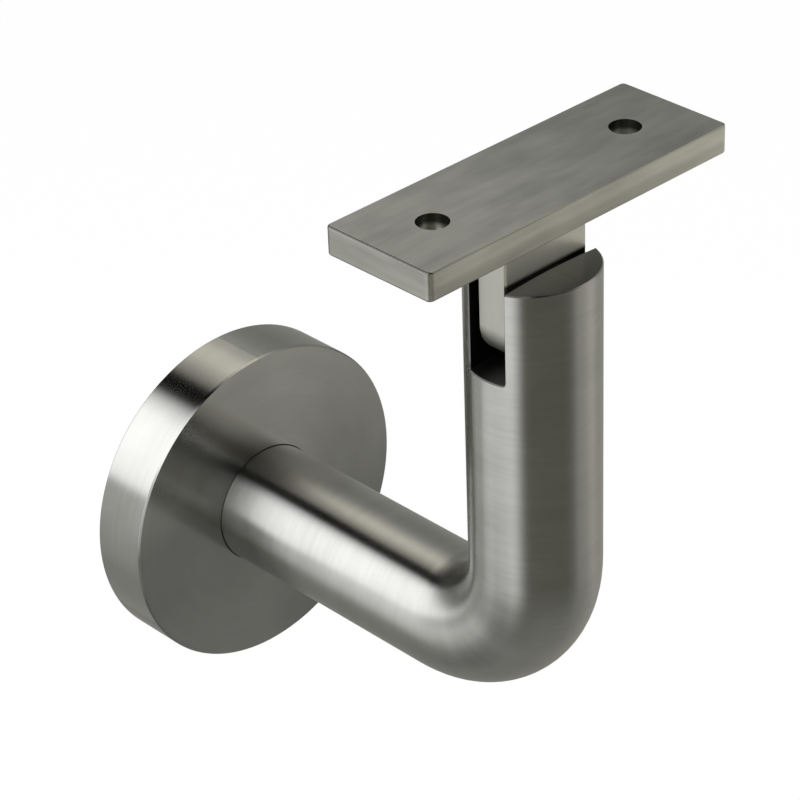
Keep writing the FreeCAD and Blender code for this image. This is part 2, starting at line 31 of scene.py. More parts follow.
# Sizes that the surface patterns follow, from the frame where a piece gives them. The arm lies along Y
# at height 0, the limb stands on the end of its bend, and the saddle lies across the limb along X.
arm_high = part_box("bracket_arm")[1]
washer_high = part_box("washer_wall_side")[1]
saddle_low, saddle_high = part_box("saddle_plate")
LIMB_Y = (saddle_low[1] + saddle_high[1]) / 2
BEND_RADIUS = 20 * MM
BEND_CENTRE_Y = LIMB_Y + BEND_RADIUS
BEND_CENTRE_Z = BEND_RADIUS
SLOT_HALF = washer_high[1] - LIMB_Y + 0.02 * MM
SLOT_FLOOR_Z = 58.1 * MM
LIMB_CROWN_Z = arm_high[2] - 0.8 * MM
BLADE_GAP_Z = arm_high[2] - 0.2 * MM
SADDLE_TOP_Z = saddle_high[2]
RAIL_HOLE_X = 21 * MM
RAIL_HOLE_REACH = 2.8 * MM

# A surface looks along an axis where that part of its direction is above SQUARE_ON. Where it is below
# FLAT_FACING on every axis, it is a rounded edge or corner.
SQUARE_ON = 0.7
FLAT_FACING = 0.97

# Steels
STEEL = (0.52, 0.52, 0.505)
SADDLE_STEEL = (0.558, 0.557, 0.51)
BLADE_STEEL = (0.522, 0.518, 0.472)
PLAIN_STEEL = (0.53, 0.53, 0.51)
SCREW_STEEL = (0.56, 0.56, 0.54)
GRAIN_DARKEST = 0.8
GRAIN_LIGHTEST = 1.2
GLOSS_UNEVENNESS = 0.05
DULL_ROUGHER = 0.35

# Rubber
RUBBER_DARK = (0.018, 0.018, 0.018, 1.0)
RUBBER_LIGHT = (0.035, 0.035, 0.035, 1.0)
RUBBER_GRAINS_PER_METRE = 1500.0
RUBBER_ROUGHNESS = (0.3, 0.7, 0.55, 0.7)
RUBBER_RELIEF = 0.02 * MM
RUBBER_RELIEF_STRENGTH = 0.3

# Camera
CAMERA_PLACE = (-305.22 * MM, -375.11 * MM, 311.95 * MM)
CAMERA_AZIMUTH = -42.924
CAMERA_ELEVATION = 31.573
CAMERA_ROLL = -2.145
CAMERA_LENS = 142.2
CAMERA_SENSOR = 36.0
CAMERA_NEAR = 0.01
CAMERA_FAR = 50.0

# Studio
FLOOR_HEIGHT = -600 * MM
FLOOR_HALF = 4.0
FLOOR_LEVEL = 0.92
FLOOR_WHITE_SHARE = 0.94
ROOM_LEVEL = 0.74
TENT_RADIUS = 0.52
TENT_CENTRE = (0.0, -40 * MM, 30 * MM)
LAMPS = (
    # name, place, side, power in watts
    ("key_lamp", (-0.9, 0.5, 1.1), 1.2, 17.0),
    ("fill_lamp", (0.5, -1.2, 0.9), 1.5, 12.0),
)


class Nodes:
    """Short calls that add nodes to one node tree; a value may be a number, a tuple or a socket."""

    def __init__(self, owner):
        owner.use_nodes = True
        self.tree = owner.node_tree
        self.tree.nodes.clear()

    def put(self, socket, value):
        if isinstance(value, bpy.types.NodeSocket):
            self.tree.links.new(value, socket)
        elif value is not None:
            socket.default_value = value

    def add(self, kind, inputs=(), **settings):
        node = self.tree.nodes.new(kind)
        for name, value in settings.items():
            setattr(node, name, value)
        for key, value in dict(inputs).items():
            self.put(node.inputs[key], value)
        return node

    def output(self, kind, surface):
        """Ends a material or a world with what its surface is."""
        self.put(self.add(kind).inputs["Surface"], surface)

    def coordinate(self, kind):
        """The place on a piece, "Object", or the direction that its surface faces there, "Normal"."""
        return self.add("ShaderNodeTexCoord").outputs[kind]

    def math(self, operation, a, b=None, c=None, clamp=False):
        node = self.add("ShaderNodeMath", operation=operation, use_clamp=clamp)
        for socket, value in zip(node.inputs, (a, b, c)):
            self.put(socket, value)
        return node.outputs[0]

    def times(self, first, *others):
        """Product of two or more values."""
        for other in others:
            first = self.math("MULTIPLY", first, other)
        return first

    def vector(self, operation, a, b=None):
        node = self.add("ShaderNodeVectorMath", operation=operation)
        for socket, value in zip(node.inputs, (a, b)):
            self.put(socket, value)
        return node.outputs["Value" if operation in ("LENGTH", "DOT_PRODUCT") else "Vector"]

    def split(self, value):
        node = self.add("ShaderNodeSeparateXYZ", {0: value})
        return node.outputs[0], node.outputs[1], node.outputs[2]

    def join(self, x, y, z):
        return self.add("ShaderNodeCombineXYZ", {0: x, 1: y, 2: z}).outputs[0]

    def ramp(self, value, start, end, low=0.0, high=1.0, smooth=True):
        """low up to start and high from end on; start may also be the larger one of the two."""
        kind = "SMOOTHSTEP" if smooth else "LINEAR"
        inputs = {"Value": value, "From Min": start, "From Max": end, "To Min": low, "To Max": high}
        return self.add("ShaderNodeMapRange", inputs, interpolation_type=kind).outputs[0]

    def mix(self, share, a, b):
        """Colour between two colours, which the node has at its inputs 6 and 7."""
        node = self.add("ShaderNodeMix", {0: share, 6: a, 7: b}, data_type="RGBA")
        return node.outputs[2]

    def mix_vector(self, share, a, b):
        """Vector between two vectors, which the node has at its inputs 4 and 5."""
        node = self.add("ShaderNodeMix", {0: share, 4: a, 5: b}, data_type="VECTOR")
        return node.outputs[1]

    def noise(self, vector, scale=1.0, detail=2.0):
        inputs = {"Vector": vector, "Scale": scale, "Detail": detail, "Roughness": 0.5}
        return self.add("ShaderNodeTexNoise", inputs).outputs[0]

    def to_world(self, vector):
        settings = {"vector_type": "VECTOR", "convert_from": "OBJECT", "convert_to": "WORLD"}
        return self.add("ShaderNodeVectorTransform", {0: vector}, **settings).outputs[0]

    def seen(self):
        """1 for rays from the camera, from glossy and from clear surfaces."""
        path = self.add("ShaderNodeLightPath").outputs
        either = self.math("MAXIMUM", path["Is Camera Ray"], path["Is Glossy Ray"])
        return self.math("MAXIMUM", either, path["Is Transmission Ray"])


# Grain of each kind of piece: a point's place, first across the grooves and then along them, and the
# direction in which the grooves spread a reflection.


def bar_grain(n):
    """Grain round a bent bar: (along the bar, sideways, from the bend's centre) in metres."""
    x, y, z = n.split(n.coordinate("Object"))
    y_off = n.math("SUBTRACT", y, BEND_CENTRE_Y)
    z_off = n.math("SUBTRACT", z, BEND_CENTRE_Z)
    y_low = n.math("MINIMUM", y_off, 0.0)
    z_low = n.math("MINIMUM", z_off, 0.0)
    turn = n.math("ARCTAN2", n.math("MULTIPLY", y_low, -1.0), n.math("MULTIPLY", z_low, -1.0))
    run = n.math("MULTIPLY_ADD", turn, BEND_RADIUS, n.math("MAXIMUM", z_off, 0.0))
    run = n.math("SUBTRACT", run, n.math("MAXIMUM", y_off, 0.0))
    reach = n.vector("LENGTH", n.join(0.0, y_low, z_low))
    along = n.join(0.0, z_low, n.math("MULTIPLY", y_low, -1.0))
    return n.join(run, x, reach), n.vector("NORMALIZE", along)


def turned_grain(n):
    """Grain of a part turned about Y: rings on the face, rings round the rim."""
    x, y, z = n.split(n.coordinate("Object"))
    radius = n.vector("LENGTH", n.join(x, 0.0, z))
    across = n.math("SUBTRACT", radius, y)
    ring = n.join(n.math("MULTIPLY", z, -1.0), 0.0, x)
    spread = n.vector("CROSS_PRODUCT", ring, n.coordinate("Normal"))
    return n.join(across, x, z), n.vector("NORMALIZE", spread)


def flat_grain(n):
    """Grain of a flat bar along X: along X on its long faces, along Y on its two ends."""
    x, y, z = n.split(n.coordinate("Object"))
    normal = n.coordinate("Normal")
    along, _, upright = n.split(n.vector("ABSOLUTE", normal))
    flat = n.math("GREATER_THAN", upright, SQUARE_ON)
    end = n.math("GREATER_THAN", along, SQUARE_ON)
    place = n.mix_vector(flat, n.join(z, x, y), n.join(y, x, z))
    groove = n.mix_vector(end, (1.0, 0.0, 0.0), (0.0, 1.0, 0.0))
    spread = n.vector("CROSS_PRODUCT", groove, normal)
    return place, n.vector("NORMALIZE", spread)


def blade_grain(n):
    """Grain of an upright tongue: upright on its two faces, round its outline on its edge."""
    x, y, z = n.split(n.coordinate("Object"))
    facing_y = n.split(n.vector("ABSOLUTE", n.coordinate("Normal")))[1]
    face = n.math("GREATER_THAN", facing_y, SQUARE_ON)
    place = n.mix_vector(face, n.join(y, z, x), n.join(x, z, y))
    spread = n.mix_vector(face, (0.0, 1.0, 0.0), (1.0, 0.0, 0.0))
    return place, spread


# Tones of each kind of piece, which are painted light and shade. A tone multiplies the steel's colour.
# It starts at 1, and each place adds its own tone to that, or takes it off where it is below 0. A ramp
# is (start, end), from 0 to 1, or (start, end, value at start, value at end). A facing is the part of a
# surface's direction along one axis, from -1 to 1.

# Where the limb is round, its surface faces away from its axis by more than this.
ROUND_FACING = 0.97
SLOT_EDGE = 0.3 * MM

# The bend's places are distances from its centre, and degrees from the arm to the limb.
# Painted shadow on the inner side of the bend, and painted shade on its -X side where the limb starts.
BEND_INSIDE_REACH = (12.0 * MM, 10.8 * MM)
BEND_CREST_REACH = (9.0 * MM, 9.9 * MM, 0.3, 1.0)
BEND_INSIDE_START = (2.0, 14.0)
BEND_INSIDE_END = (82.0, 60.0)
BEND_INSIDE_TONE = -0.5
BEND_SIDE_FACING = (-0.6, -0.92)
BEND_SIDE_REACH = (16 * MM, 20 * MM)
BEND_SIDE_START = (56.0, 70.0)
BEND_SIDE_END = (92.0, 78.0)
BEND_SIDE_TONE = -0.28

# Painted shade on the crown, under the saddle.
CROWN_FACING = 0.8
CROWN_TONE = -0.36
# Painted shade in the slot: its walls and floor nearly black, and its edges darker.
SLOT_EDGE_TONE = (SLOT_FLOOR_Z + 0.5 * MM, SLOT_FLOOR_Z + 2 * MM, -0.7, -0.2)
SLOT_WALL_TONE = 0.04
SLOT_FLOOR_FACING = (0.5, 0.95)
SLOT_FLOOR_TONE = (2.5 * MM, -3.5 * MM, 0.03, 0.28)
# Painted highlight on the strip of the limb between its -X side and the wall.
WALLWARD_HEIGHT = (25 * MM, 40 * MM)
WALLWARD_FACING_Y = (0.3, 0.42)
WALLWARD_FACING_X = (-0.5, -0.7)
WALLWARD_TONE = 0.55
# Painted shadow on the top of the arm where it meets the cover.
JOINT_Y = (-22 * MM, -10 * MM)
JOINT_FACING_UP = (0.72, 0.88)
JOINT_FACING_X = (0.5, 0.1)
JOINT_PAINTED_SHADOW = -0.55


def near_slot(n, margin):
    """1 where the bar isn't round, up to the margin outside the walls and floor of its slot."""
    x, y, z = n.split(n.coordinate("Object"))
    y_off = n.math("SUBTRACT", y, LIMB_Y)
    outward = n.vector("NORMALIZE", n.join(x, y_off, 0.0))
    roundness = n.vector("DOT_PRODUCT", outward, n.coordinate("Normal"))
    cut = n.math("LESS_THAN", roundness, ROUND_FACING)
    between = n.math("LESS_THAN", n.math("ABSOLUTE", y_off), SLOT_HALF + margin)
    above = n.math("GREATER_THAN", z, SLOT_FLOOR_Z - margin)
    return n.times(cut, between, above)


def slot_inside(n):
    """1 on the walls and the floor of the bar's slot, which the mill left dull."""
    return near_slot(n, 0.0)


def bend_shade(n):
    """Painted shade on the bend: a painted shadow inside it, and on its -X side where the limb starts.
    """
    y, z = n.split(n.coordinate("Object"))[1:]
    y_off = n.math("SUBTRACT", BEND_CENTRE_Y, y)
    z_off = n.math("SUBTRACT", BEND_CENTRE_Z, z)
    reach = n.vector("LENGTH", n.join(0.0, y_off, z_off))
    turn = n.math("MULTIPLY", n.math("ARCTAN2", y_off, z_off), DEGREES)
    inside = n.times(
        n.ramp(reach, *BEND_INSIDE_REACH),
        n.ramp(reach, *BEND_CREST_REACH),
        n.ramp(turn, *BEND_INSIDE_START),
        n.ramp(turn, *BEND_INSIDE_END),
    )
    side = n.times(
        n.ramp(n.split(n.coordinate("Normal"))[0], *BEND_SIDE_FACING),
        n.ramp(reach, *BEND_SIDE_REACH),
        n.ramp(turn, *BEND_SIDE_START),
        n.ramp(turn, *BEND_SIDE_END),
    )
    return n.math("MULTIPLY_ADD", inside, BEND_INSIDE_TONE, n.math("MULTIPLY", side, BEND_SIDE_TONE))


def bar_shade(n):
    """Painted light and shade on the bar: painted shade in the slot, on the crown and on the slot's
    edges, and a painted shadow on top of the arm where it meets the cover. A painted highlight brightens
    the strip of the limb between its -X side and the wall."""
    y, z = n.split(n.coordinate("Object"))[1:]
    facing_x, facing_y, up = n.split(n.coordinate("Normal"))
    inside = near_slot(n, 0.0)
    floor = n.ramp(n.math("SUBTRACT", y, LIMB_Y), *SLOT_FLOOR_TONE)
    depth = n.math("MULTIPLY_ADD", n.ramp(up, *SLOT_FLOOR_FACING), floor, SLOT_WALL_TONE)
    tone = n.math("MULTIPLY_ADD", inside, n.math("SUBTRACT", depth, 1.0), 1.0)
    edge = n.math("SUBTRACT", near_slot(n, SLOT_EDGE), inside)
    edge = n.times(edge, n.math("LESS_THAN", z, LIMB_CROWN_Z))
    tone = n.math("MULTIPLY_ADD", edge, n.ramp(z, *SLOT_EDGE_TONE), tone)
    crown = n.times(
        n.math("GREATER_THAN", z, LIMB_CROWN_Z),
        n.math("GREATER_THAN", up, CROWN_FACING),
    )
    tone = n.math("MULTIPLY_ADD", crown, CROWN_TONE, tone)
    tone = n.math("ADD", tone, bend_shade(n))
    wallward = n.times(
        n.ramp(z, *WALLWARD_HEIGHT),
        n.ramp(facing_y, *WALLWARD_FACING_Y),
        n.ramp(facing_x, *WALLWARD_FACING_X),
    )
    tone = n.math("MULTIPLY_ADD", wallward, WALLWARD_TONE, tone)
    cover_shadow = n.times(
        n.ramp(y, *JOINT_Y),
        n.ramp(up, *JOINT_FACING_UP),
        n.ramp(facing_x, *JOINT_FACING_X),
    )
    return n.math("MULTIPLY_ADD", cover_shadow, JOINT_PAINTED_SHADOW, tone)


# The rail face is duller than clear metal, because seen from the other side it would mirror the
# brightest part of the tent as pure white.
RAIL_FACE_UP = (0.8, 0.95)
RAIL_FACE_METAL = 0.65
# Painted shade on the rail face, a little stronger towards +X.
RAIL_FACE_TONE = (-28 * MM, 28 * MM, -0.435, -0.60)
# Painted shade in the rail holes: nearly black near the top of their walls, lighter deeper down.
HOLE_WALL_FACING = 0.5
HOLE_TONE = (1.2 * MM, 2.2 * MM, -0.85, -0.15)
# Painted shade on the saddle's ends and its underside.
SADDLE_END_TONE = -0.32
SADDLE_UNDER_TONE = -0.38
# Painted reflection on the long sides: a lighter band above a darker one, and brighter towards +X.
SADDLE_SIDE_PAINTED_BANDS = (86.4 * MM, 88.0 * MM, -0.12, 0.12)
SADDLE_SIDE_TONE = (12 * MM, 32 * MM, 0.0, 0.2)
# The edge tone goes by the product of the facings along X and Z, and the corner by that of X and Y.
# Painted shade on the broken edges over the ends, and a painted highlight on the upright corners.
SADDLE_EDGE_TONE = (0.1, 0.3, -0.12, -0.4)
SADDLE_CORNER = (0.1, 0.4)
SADDLE_CORNER_FACING_Y = (0.5, 0.85)
SADDLE_CORNER_TONE = 1.1


def rail_face(n):
    """1 on the face that the rail lies on."""
    return n.ramp(n.split(n.coordinate("Normal"))[2], *RAIL_FACE_UP)


def saddle_metal(n):
    """Share of clear metal on the saddle, which is smaller on its rail face."""
    return n.math("MULTIPLY_ADD", rail_face(n), RAIL_FACE_METAL - 1.0, 1.0)


def saddle_shade(n):
    """Painted light and shade on the saddle: painted shade in its holes and on its ends, underside, rail
    face and broken edges. Painted light brightens its long sides towards the top and to +X, and a
    painted highlight its upright corners."""
    x, y, z = n.split(n.coordinate("Object"))
    facing_x, facing_y, facing_z = n.split(n.coordinate("Normal"))
    along = n.math("ABSOLUTE", facing_x)
    across = n.math("ABSOLUTE", facing_y)
    upright = n.math("ABSOLUTE", facing_z)

    off_hole = n.math("SUBTRACT", n.math("ABSOLUTE", x), RAIL_HOLE_X)
    reach = n.vector("LENGTH", n.join(off_hole, n.math("SUBTRACT", y, LIMB_Y), 0.0))
    near_hole = n.math("LESS_THAN", reach, RAIL_HOLE_REACH)
    hole = n.times(near_hole, n.math("LESS_THAN", upright, HOLE_WALL_FACING))
    depth = n.math("SUBTRACT", SADDLE_TOP_Z, z)
    tone = n.math("MULTIPLY_ADD", hole, n.ramp(depth, *HOLE_TONE), 1.0)

    solid = n.math("SUBTRACT", 1.0, hole)
    end = n.times(solid, n.math("GREATER_THAN", along, SQUARE_ON))
    side = n.times(solid, n.math("GREATER_THAN", across, SQUARE_ON))
    under = n.math("LESS_THAN", facing_z, -SQUARE_ON)
    tone = n.math("MULTIPLY_ADD", end, SADDLE_END_TONE, tone)
    tone = n.math("MULTIPLY_ADD", side, n.ramp(z, *SADDLE_SIDE_PAINTED_BANDS), tone)
    tone = n.math("MULTIPLY_ADD", side, n.ramp(x, *SADDLE_SIDE_TONE), tone)
    tone = n.math("MULTIPLY_ADD", under, SADDLE_UNDER_TONE, tone)
    tone = n.math("MULTIPLY_ADD", rail_face(n), n.ramp(x, *RAIL_FACE_TONE), tone)

    largest = n.math("MAXIMUM", n.math("MAXIMUM", along, across), upright)
    broken = n.times(solid, n.math("LESS_THAN", largest, FLAT_FACING))
    over_end = n.math("MULTIPLY", along, upright)
    tone = n.math("MULTIPLY_ADD", broken, n.ramp(over_end, *SADDLE_EDGE_TONE), tone)
    corner = n.times(
        solid,
        n.ramp(n.math("MULTIPLY", along, across), *SADDLE_CORNER),
        n.ramp(across, *SADDLE_CORNER_FACING_Y),
    )
    return n.math("MULTIPLY_ADD", corner, SADDLE_CORNER_TONE, tone)


# Painted light on the tongue's flat faces, most low down and to -X, less towards +X, and a painted
# shadow where they go into the slot.
BLADE_EDGE_TONE = 1.05
BLADE_FACE_TONE = (77 * MM, 83 * MM, 0.7, 0.16)
BLADE_FACE_RIGHT = (1 * MM, 7 * MM, 0.0, -0.18)
BLADE_FACE_IN_SLOT = (BLADE_GAP_Z, BLADE_GAP_Z + 0.8 * MM, -1.6, 0.0)


def blade_shade(n):
    """Painted light and shade on the tongue: painted light makes its two flat faces brighter than its
    ground edge, above all low down and to -X, and a painted shadow darkens them in the slot."""
    x, _, z = n.split(n.coordinate("Object"))
    facing_y = n.split(n.coordinate("Normal"))[1]
    face = n.math("GREATER_THAN", n.math("ABSOLUTE", facing_y), SQUARE_ON)
    tone = n.math("MULTIPLY_ADD", face, n.ramp(z, *BLADE_FACE_TONE), BLADE_EDGE_TONE)
    tone = n.math("MULTIPLY_ADD", face, n.ramp(x, *BLADE_FACE_RIGHT), tone)
    return n.math("MULTIPLY_ADD", face, n.ramp(z, *BLADE_FACE_IN_SLOT), tone)


# Painted light and shade on the cover's face: one run left of the arm and another to the right.
COVER_FACE_FACING = -0.9
COVER_LEFT_MIDDLE = (0.0, 12 * MM, -0.26, 0.0)
COVER_LEFT_LOW = (-26 * MM, -8 * MM, 0.12, 0.0)
COVER_RIGHT_LOW = (-28 * MM, 10 * MM, -0.28, 0.0)
COVER_RIGHT_SHARE = (-4 * MM, 10 * MM)
COVER_OUTER_RIGHT = (2 * MM, 24 * MM, 0.0, -0.17)
COVER_OUTER_RIGHT_SHARE = (-5 * MM, 10 * MM, 0.5, 1.0)
# Painted shade on the cover's edge at the wall and on its front edge on the -X side.
COVER_WALL_EDGE = (-0.45 * MM, -0.25 * MM, 0.0, -0.75)
COVER_FRONT_EDGE_Y = (-10.65 * MM, -10.8 * MM)
COVER_FRONT_EDGE_X = (-10 * MM, -18 * MM)
COVER_FRONT_EDGE_Z = (20 * MM, 15 * MM)
COVER_FRONT_EDGE_TONE = (-4 * MM, 8 * MM, -0.2, -0.5)


def cover_shade(n):
    """Painted light and shade on the cover: painted shade on its face below the arm and towards the
    right, and on its edge at the wall and its front edge on the -X side."""
    x, y, z = n.split(n.coordinate("Object"))
    face = n.math("LESS_THAN", n.split(n.coordinate("Normal"))[1], COVER_FACE_FACING)
    left = n.math("ADD", n.ramp(z, *COVER_LEFT_MIDDLE), n.ramp(z, *COVER_LEFT_LOW))
    right = n.ramp(z, *COVER_RIGHT_LOW)
    share = n.ramp(x, *COVER_RIGHT_SHARE)
    on_face = n.math("MULTIPLY_ADD", share, n.math("SUBTRACT", right, left), left)
    outer = n.times(n.ramp(x, *COVER_OUTER_RIGHT), n.ramp(z, *COVER_OUTER_RIGHT_SHARE))
    tone = n.math("MULTIPLY_ADD", face, n.math("ADD", on_face, outer), 1.0)
    tone = n.math("ADD", tone, n.ramp(y, *COVER_WALL_EDGE))
    front_edge = n.times(
        n.ramp(y, *COVER_FRONT_EDGE_Y),
        n.math("SUBTRACT", 1.0, face),
        n.ramp(x, *COVER_FRONT_EDGE_X),
        n.ramp(z, *COVER_FRONT_EDGE_Z),
    )
    return n.math("MULTIPLY_ADD", front_edge, n.ramp(z, *COVER_FRONT_EDGE_TONE), tone)


# The photo's own perspective bends towards the cover. Its reflections there sit further round the rim
# than on the bar, so the cover's shading normals are turned about the arm, in degrees. The flat faces
# of the cover are square to the arm, and its broken edges keep only a share of their slope.
COVER_TURN = -6.5
COVER_FLAT_FACING = 0.9
COVER_EDGE_SLOPE = 0.25
# Near the cover, the reflections on the upper side of the bar look less towards the wall, so its
# shading normals lean away from it. The crest and what faces sideways or down are spared.
BAR_LEAN = -0.15
BAR_LEAN_GROWS = (-52 * MM, -19 * MM)
BAR_LEAN_FADES = (-19 * MM, -11 * MM, 1.0, 0.3)
BAR_LEAN_CREST = (0.96, 0.82)
BAR_LEAN_LOWER = (0.26, 0.44)


def cover_facing(n):
    """Shading normals of the cover: turned about the arm, and its broken edges kept crisp."""
    x, y, z = n.split(n.add("ShaderNodeNewGeometry").outputs["Normal"])
    flat = n.math("GREATER_THAN", n.math("ABSOLUTE", y), COVER_FLAT_FACING)
    slope = n.math("MULTIPLY_ADD", flat, 1.0 - COVER_EDGE_SLOPE, COVER_EDGE_SLOPE)
    whole = n.vector("NORMALIZE", n.join(x, n.math("MULTIPLY", y, slope), z))
    inputs = {"Vector": whole, "Axis": (0.0, 1.0, 0.0), "Angle": math.radians(COVER_TURN)}
    return n.add("ShaderNodeVectorRotate", inputs, rotation_type="AXIS_ANGLE").outputs[0]


def bar_facing(n):
    """Shading normals of the bar: near the cover its upper side leans away from the wall."""
    normal = n.add("ShaderNodeNewGeometry").outputs["Normal"]
    up = n.split(normal)[2]
    y = n.split(n.coordinate("Object"))[1]
    lean = n.times(
        BAR_LEAN,
        n.ramp(y, *BAR_LEAN_GROWS),
        n.ramp(y, *BAR_LEAN_FADES),
        n.ramp(up, *BAR_LEAN_CREST),
        n.ramp(up, *BAR_LEAN_LOWER),
    )
    return n.vector("NORMALIZE", n.vector("ADD", normal, n.join(0.0, lean, 0.0)))


def brushed(name, grain, colour, roughness, anisotropy, fine, streak, blotch, bump,
            shade=None, facing=None, dull=None, metallic=1.0):
    """Brushed steel: fine grooves, wider streaks and slow blotches in colour and gloss.

    fine, streak and blotch are (size across, size along, strength), the sizes in millimetres, and bump
    is the depth of the fine grooves in millimetres. shade gives the painted light and shade, a tone that
    differs from place to place, facing the shading normals, and dull is 1 where the steel is matt and
    has no direction.
    metallic is a number, or a function where it differs from place to place.
    """
    material = bpy.data.materials.new(name)
    n = Nodes(material)
    place, spread = grain(n)
    patterns = []
    total = 0.0
    for across, along, strength in (fine, streak, blotch):
        stretch = (1 / (across * MM), 1 / (along * MM), 1 / (along * MM))
        pattern = n.noise(n.vector("MULTIPLY", place, stretch))
        total = n.math("MULTIPLY_ADD", n.math("SUBTRACT", pattern, 0.5), strength, total)
        patterns.append(pattern)
    darker = tuple(c * GRAIN_DARKEST for c in colour) + (1.0,)
    lighter = tuple(c * GRAIN_LIGHTEST for c in colour) + (1.0,)
    tone = n.mix(n.math("ADD", total, 0.5, clamp=True), darker, lighter)
    if shade:
        level = shade(n)
        tone = n.vector("MULTIPLY", tone, n.join(level, level, level))
    gloss = n.math("MULTIPLY_ADD", total, GLOSS_UNEVENNESS, roughness)
    if dull:
        matt = dull(n)
        gloss = n.math("MULTIPLY_ADD", matt, DULL_ROUGHER, gloss)
        anisotropy = n.math("MULTIPLY_ADD", matt, -anisotropy, anisotropy)
    relief = n.add("ShaderNodeBump", {"Strength": 1.0, "Distance": bump * MM, "Height": patterns[0]})
    if facing:
        n.put(relief.inputs["Normal"], facing(n))
    shader = n.add("ShaderNodeBsdfPrincipled", {
        "Base Color": tone,
        "Metallic": metallic(n) if callable(metallic) else metallic,
        "Roughness": gloss,
        "Anisotropic": anisotropy,
        "Tangent": n.to_world(spread),
        "Normal": relief.outputs[0],
    })
    n.output("ShaderNodeOutputMaterial", shader.outputs[0])
    return material


def rubber(name):
    """Matt black rubber with a slight unevenness."""
    material = bpy.data.materials.new(name)
    n = Nodes(material)
    grain = n.noise(n.coordinate("Object"), scale=RUBBER_GRAINS_PER_METRE, detail=3.0)
    relief = n.add("ShaderNodeBump", {
        "Strength": RUBBER_RELIEF_STRENGTH,
        "Distance": RUBBER_RELIEF,
        "Height": grain,
    })
    shader = n.add("ShaderNodeBsdfPrincipled", {
        "Base Color": n.mix(grain, RUBBER_DARK, RUBBER_LIGHT),
        "Roughness": n.ramp(grain, *RUBBER_ROUGHNESS),
        "Normal": relief.outputs[0],
    })
    n.output("ShaderNodeOutputMaterial", shader.outputs[0])
    return material


materials = {
    "bar": brushed(
        "brushed_bar", bar_grain, STEEL, roughness=0.26, anisotropy=0.88,
        fine=(0.12, 4.0, 0.2), streak=(0.7, 14.0, 0.3), blotch=(6.0, 12.0, 0.6), bump=0.0015,
        shade=bar_shade, facing=bar_facing, dull=slot_inside,
    ),
    "cover": brushed(
        "brushed_cover", turned_grain, STEEL, roughness=0.175, anisotropy=0.5,
        fine=(0.12, 8.0, 0.12), streak=(0.6, 24.0, 0.2), blotch=(7.0, 11.0, 0.5), bump=0.001,
        shade=cover_shade, facing=cover_facing,
    ),
    "saddle": brushed(
        "brushed_saddle", flat_grain, SADDLE_STEEL, roughness=0.32, anisotropy=0.5,
        fine=(0.15, 6.0, 0.35), streak=(0.9, 20.0, 0.7), blotch=(4.5, 12.0, 1.7), bump=0.002,
        shade=saddle_shade, metallic=saddle_metal,
    ),
    "blade": brushed(
        "brushed_blade", blade_grain, BLADE_STEEL, roughness=0.4, anisotropy=0.4,
        fine=(0.15, 4.0, 0.2), streak=(0.8, 10.0, 0.2), blotch=(4.0, 8.0, 0.3), bump=0.002,
        shade=blade_shade, metallic=0.93,
    ),
    "plain": brushed(
        "plain_steel", turned_grain, PLAIN_STEEL, roughness=0.35, anisotropy=0.5,
        fine=(0.12, 6.0, 0.3), streak=(0.6, 12.0, 0.3), blotch=(6.0, 9.0, 0.2), bump=0.003,
    ),
    "screw": brushed(
        "screw_steel", turned_grain, SCREW_STEEL, roughness=0.28, anisotropy=0.3,
        fine=(0.1, 3.0, 0.25), streak=(0.5, 6.0, 0.2), blotch=(3.0, 4.0, 0.15), bump=0.002,
    ),
    "rubber": rubber("ring_rubber"),
}

NODE_MATERIALS = {
    "bracket_arm": "bar",
    "cover_rose": "cover",
    "saddle_plate": "saddle",
    "saddle_blade": "blade",
    "wall_plate": "plain",
    "arm_fixing_screw": "screw",
    "pivot_screw": "screw",
    "locating_pin": "screw",
    "washer_wall_side": "screw",
    "washer_rail_side": "screw",
    "cover_ring": "rubber",
}
for node_name, key in NODE_MATERIALS.items():
    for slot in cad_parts[node_name].material_slots:
        slot.material = materials[key]

# Reflection tent: what the steel mirrors, painted by direction as seen from the object.
# Behind the object's front edge the levels follow the angle about the arm: 0 degrees at -X, 90 at +Z.
# In front of it they are soft-edged panels; azimuth is counted from +X towards +Y.
PALE = (1.0, 1.0, 0.94)
WARM = (1.03, 1.0, 0.9)
DARK = (1.02, 1.0, 0.8)
OLIVE = (1.04, 1.0, 0.88)
NEUTRAL = (1.0, 1.0, 1.0)
TENT_STRENGTH = 2.0
TENT_SEGMENTS = 48
TENT_RINGS = 24
BACK_STOPS = (
    # angle about the arm, level, colour
    (-90, 0.28, PALE), (-70, 0.30, PALE), (-54, 0.34, PALE), (-42, 0.48, PALE), (-35, 0.76, PALE),
    (-28, 1.00, NEUTRAL),
    (-16, 1.28, NEUTRAL), (-6, 1.52, NEUTRAL), (4, 1.75, NEUTRAL), (20, 1.90, NEUTRAL),
    (34, 1.90, NEUTRAL), (43, 1.78, NEUTRAL), (50, 1.40, NEUTRAL), (56, 0.9, NEUTRAL),
    (63, 0.0, DARK), (77, 0.0, DARK), (82, 0.28, OLIVE), (91, 0.56, OLIVE), (101, 0.86, OLIVE),
    (111, 0.86, OLIVE), (118, 0.62, OLIVE), (126, 0.42, PALE), (137, 0.30, PALE), (151, 0.26, PALE),
    (170, 0.30, PALE), (190, 0.32, PALE), (213, 0.40, WARM), (240, 0.33, WARM), (270, 0.29, PALE),
)
BACK_PATCHES = (
    # sine towards the wall, half width, softness, (low start, low full), (high full, high end) as
    # angles about the arm, level, colour
    (0.70, 0.075, 0.04, (-70, -52), (-12, -4), 0.42, PALE),
    (0.18, 0.19, 0.14, (-80, -70), (-42, -33), 0.18, PALE),
)
FRONT_GROUND = (0.26, PALE)
